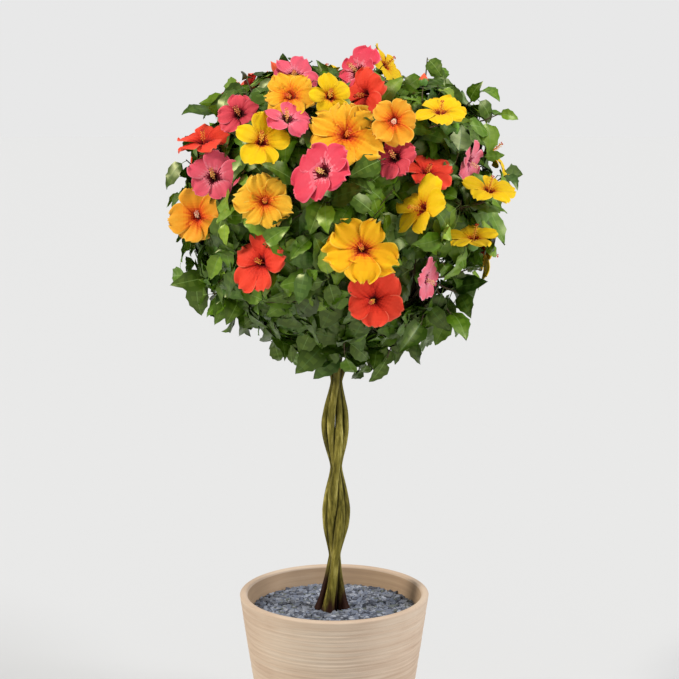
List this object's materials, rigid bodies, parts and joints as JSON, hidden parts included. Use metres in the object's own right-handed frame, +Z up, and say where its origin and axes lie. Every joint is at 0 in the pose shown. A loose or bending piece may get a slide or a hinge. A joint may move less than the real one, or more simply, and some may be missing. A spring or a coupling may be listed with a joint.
{
  "type": "potted hibiscus standard",
  "caption": "Flowering hibiscus grown as a small tree: four stems braided into one trunk, a round leafy head of mixed blooms, and a ribbed clay pot topped with slate chippings.",
  "frame": {"origin": "the middle of the pot's flat underside", "axes": "+Z up along the trunk, -Y towards the front, +X to the right as seen from the front"},
  "size_m": [0.7044, 0.6809, 1.4239],
  "materials": {
    "clay": "matt unglazed, finely ribbed",
    "slate": "dull blue-grey chippings",
    "compost": "moist, crumbly",
    "bark": "smooth olive-green bark",
    "green_bark": "young green-brown bark",
    "foliage": "glossy leaf"
  },
  "bodies": {
    "root": {"stem_front": "bark", "stem_right": "bark", "stem_left": "bark", "stem_back": "bark", "bough_top": "green_bark", "bough_upper_1": "green_bark", "bough_middle_1": "green_bark", "bough_lower_1": "green_bark", "bough_upper_2": "green_bark", "bough_middle_2": "green_bark", "bough_middle_3": "green_bark", "bough_lower_2": "green_bark", "bough_upper_4": "green_bark", "bough_upper_5": "green_bark", "bough_middle_6": "green_bark", "bough_middle_7": "green_bark", "bough_lower_5": "green_bark", "bough_upper_3": "green_bark", "bough_middle_4": "green_bark", "bough_middle_5": "green_bark", "bough_lower_3": "green_bark", "bough_lower_4": "green_bark", "mass_top": "foliage", "mass_upper_1": "foliage", "mass_upper_2": "foliage", "mass_upper_3": "foliage", "mass_upper_4": "foliage", "mass_upper_5": "foliage", "mass_middle_1": "foliage", "mass_middle_2": "foliage", "mass_middle_3": "foliage", "mass_middle_4": "foliage", "mass_middle_5": "foliage", "mass_middle_6": "foliage", "mass_middle_7": "foliage", "mass_lower_1": "foliage", "mass_lower_2": "foliage", "mass_lower_3": "foliage", "mass_lower_4": "foliage", "mass_lower_5": "foliage", "pot": "clay", "soil": "compost", "chippings": "slate"}
  },
  "joints": []
}
